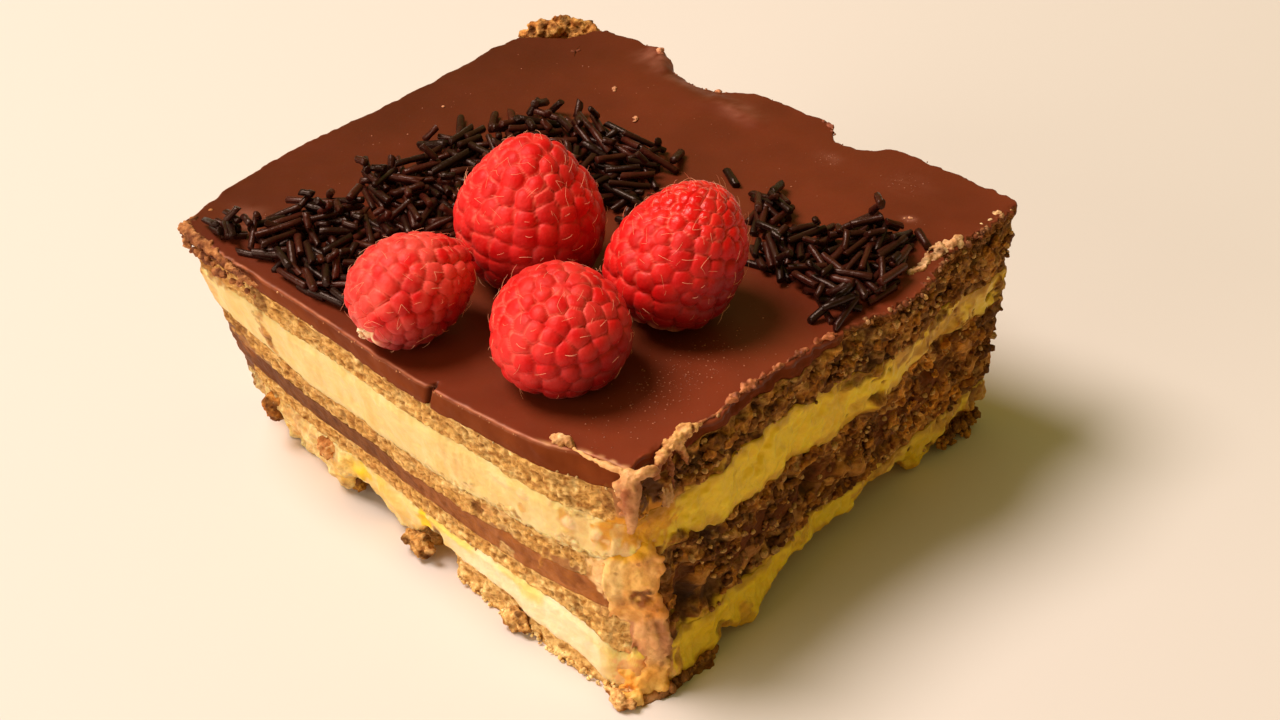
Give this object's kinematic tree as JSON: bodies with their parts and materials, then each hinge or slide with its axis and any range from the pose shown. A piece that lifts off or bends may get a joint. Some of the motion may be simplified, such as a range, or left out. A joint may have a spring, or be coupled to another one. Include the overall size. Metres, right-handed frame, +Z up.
{
  "type": "layered icebox cake slice",
  "caption": "Square slice of icebox cake with biscuit, custard and chocolate cream layers, a chocolate glaze, chocolate sprinkles and whole raspberries on top.",
  "frame": {"origin": "middle of the bounding box, on the plane of the underside", "axes": "+Z up through the layers; -Y out of the clean cut front face; +X out of the crumbled right face"},
  "size_m": [0.0932, 0.091, 0.0609],
  "materials": {
    "biscuit": "dry, porous golden-brown biscuit",
    "custard": "set custard cream, soft sheen",
    "chocolate_cream": "soft chocolate cream",
    "glaze": "set chocolate glaze, satin",
    "raspberry": "fresh berry skin, soft sheen"
  },
  "bodies": {
    "root": {"biscuit_base": "biscuit", "custard_lower": "custard", "biscuit_lower": "biscuit", "chocolate_cream": "chocolate_cream", "biscuit_middle": "biscuit", "custard_upper": "custard", "biscuit_top": "biscuit", "chocolate_glaze": "glaze", "raspberry_back": "raspberry", "raspberry_right": "raspberry", "raspberry_left": "raspberry", "raspberry_front": "raspberry"}
  },
  "joints": []
}
